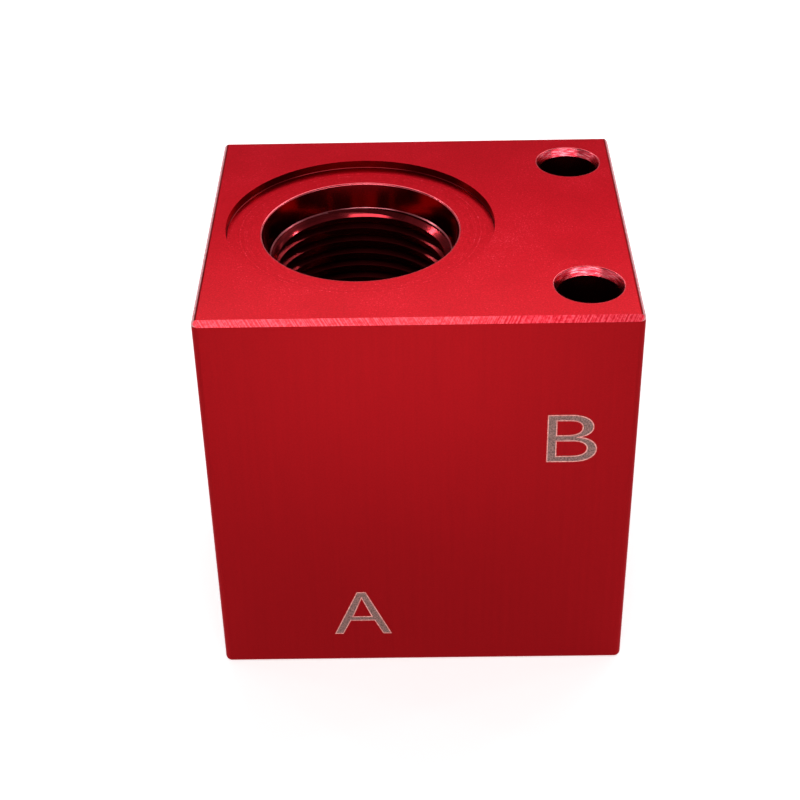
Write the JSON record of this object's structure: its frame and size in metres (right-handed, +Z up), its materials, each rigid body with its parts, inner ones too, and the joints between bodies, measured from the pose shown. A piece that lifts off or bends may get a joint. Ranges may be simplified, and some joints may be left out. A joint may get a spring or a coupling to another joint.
{
  "type": "hydraulic manifold block",
  "caption": "Machined anodised block with a threaded cartridge valve cavity on top, a port below in line with it, a side port and through holes for bolts.",
  "frame": {"origin": "middle of the base, at the bottom face", "axes": "+Z up, along the cartridge cavity's axis and out of its mouth; +X towards port B; Y along the row of bolt holes"},
  "size_m": [0.05, 0.044, 0.051],
  "materials": {
    "red_anodised_aluminium": "satin red anodised"
  },
  "bodies": {
    "root": {"manifold_block": "red_anodised_aluminium"}
  },
  "joints": []
}
